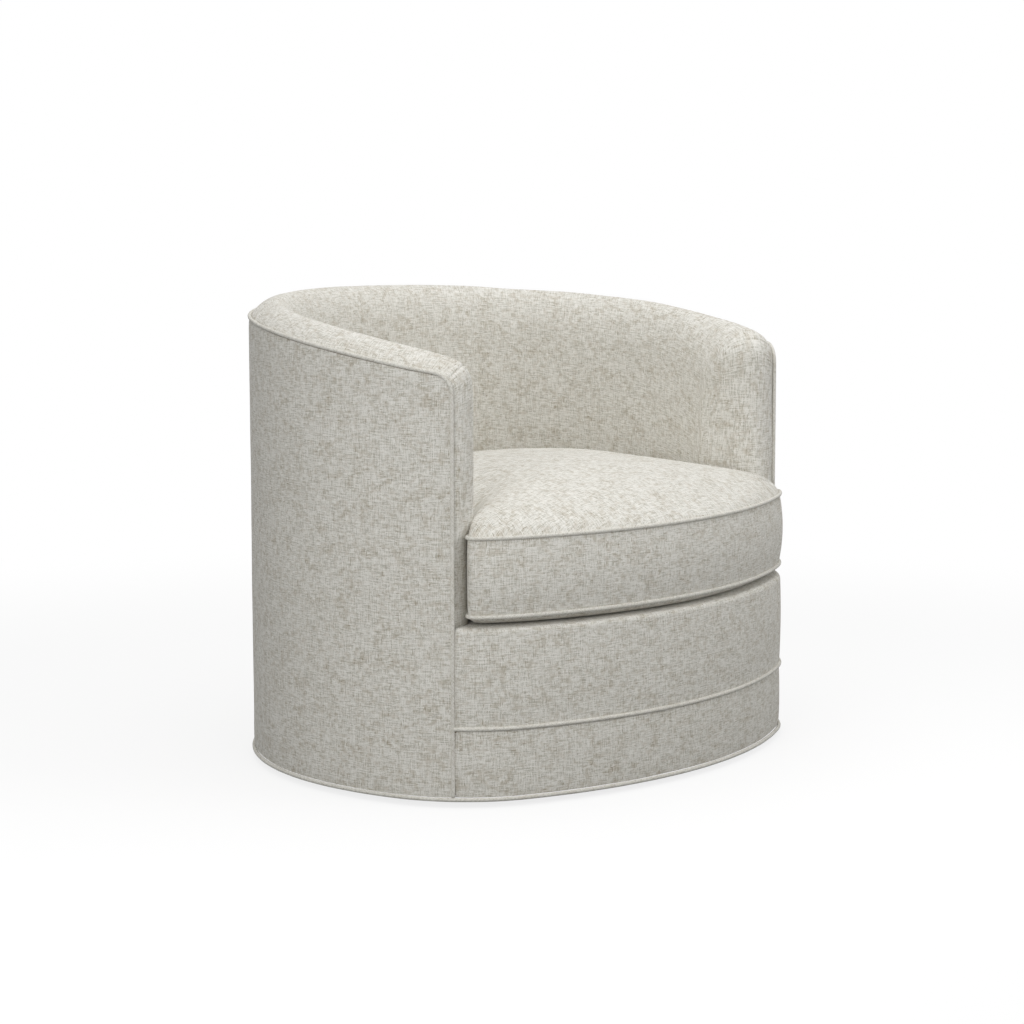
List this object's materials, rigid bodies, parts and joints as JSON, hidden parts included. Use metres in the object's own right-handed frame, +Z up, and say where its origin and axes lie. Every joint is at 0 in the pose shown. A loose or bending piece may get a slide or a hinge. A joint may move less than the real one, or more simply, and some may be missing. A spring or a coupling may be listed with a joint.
{
  "type": "swivel barrel chair",
  "caption": "Upholstered barrel chair: rolled arms and back in one sweep, loose crowned seat cushion, piped seams, on a hidden ball-bearing swivel base",
  "frame": {"origin": "on the floor, on the swivel axis, which is also the centre of the footprint", "axes": "+X to the right of someone facing the chair, across its width; -Y the front; +Z up"},
  "size_m": [0.8477, 0.7348, 0.683],
  "materials": {
    "glide_plastic": "moulded plastic",
    "black_steel": "black powder coat",
    "zinc_steel": "zinc plated",
    "ball_steel": "polished",
    "cage_nylon": "natural nylon",
    "spring_steel": "oiled spring wire",
    "plywood": "bare plywood",
    "hardwood": "bare hardwood",
    "fibreboard": "thin fibreboard",
    "foam": null,
    "webbing": "woven elastic webbing",
    "cover_fabric": "slubbed linen-look weave, ivory and cool grey yarns",
    "welt_fabric": "the cover fabric, cut on the bias over cord",
    "deck_fabric": "plain decking cloth",
    "dust_fabric": "non-woven black cloth",
    "zip_tape": "nylon coil zip",
    "zip_metal": "die-cast slider"
  },
  "bodies": {
    "base": {"glides": "glide_plastic", "base_frame": "black_steel", "lower_plate": "zinc_steel", "base_bolts": "zinc_steel", "base_nuts": "zinc_steel", "center_pin": "zinc_steel", "pin_washer": "zinc_steel", "pin_nut": "zinc_steel"},
    "ball_cage": {"bearing_balls": "ball_steel", "ball_cage": "cage_nylon"},
    "chair": {"upper_plate": "zinc_steel", "plate_bolts": "zinc_steel", "plate_nuts": "zinc_steel", "mount_rails": "hardwood", "bottom_ring": "plywood", "dust_cover": "dust_fabric", "lower_posts": "hardwood", "corner_blocks": "hardwood", "seat_ring": "plywood", "arm_posts": "hardwood", "back_posts": "hardwood", "top_rail": "plywood", "outside_board": "fibreboard", "front_board": "fibreboard", "seat_springs": "spring_steel", "spring_clips": "zinc_steel", "edge_roll": "foam", "deck_pad": "foam", "deck_cloth": "deck_fabric", "back_webbing": "webbing", "back_foam": "foam", "inside_cover": "cover_fabric", "outside_cover": "cover_fabric", "front_panel_cover": "cover_fabric", "front_band_cover": "cover_fabric", "edge_welt": "welt_fabric", "front_welt": "welt_fabric", "bottom_welt": "welt_fabric"},
    "seat_cushion": {"cushion_core": "foam", "cushion_cover": "cover_fabric", "cushion_top_welt": "welt_fabric", "cushion_bottom_welt": "welt_fabric", "cushion_zip": "zip_tape", "zip_slider": "zip_metal"}
  },
  "joints": [
    {"name": "base_swivel", "type": "hinge", "parent": "base", "child": "chair", "pos_m": [0, 0, 0.034], "axis": [0, 0, 1], "continuous": true},
    {"name": "cage_spin", "type": "hinge", "parent": "base", "child": "ball_cage", "pos_m": [0, 0, 0.034], "axis": [0, 0, 1], "continuous": true},
    {"name": "cushion_lift", "type": "slide", "parent": "chair", "child": "seat_cushion", "axis": [0, 0, 1], "range_m": [0, 0.45]}
  ],
  "couplings": [
    {"joint": "cage_spin", "follows": "base_swivel", "ratio": 0.5}
  ]
}
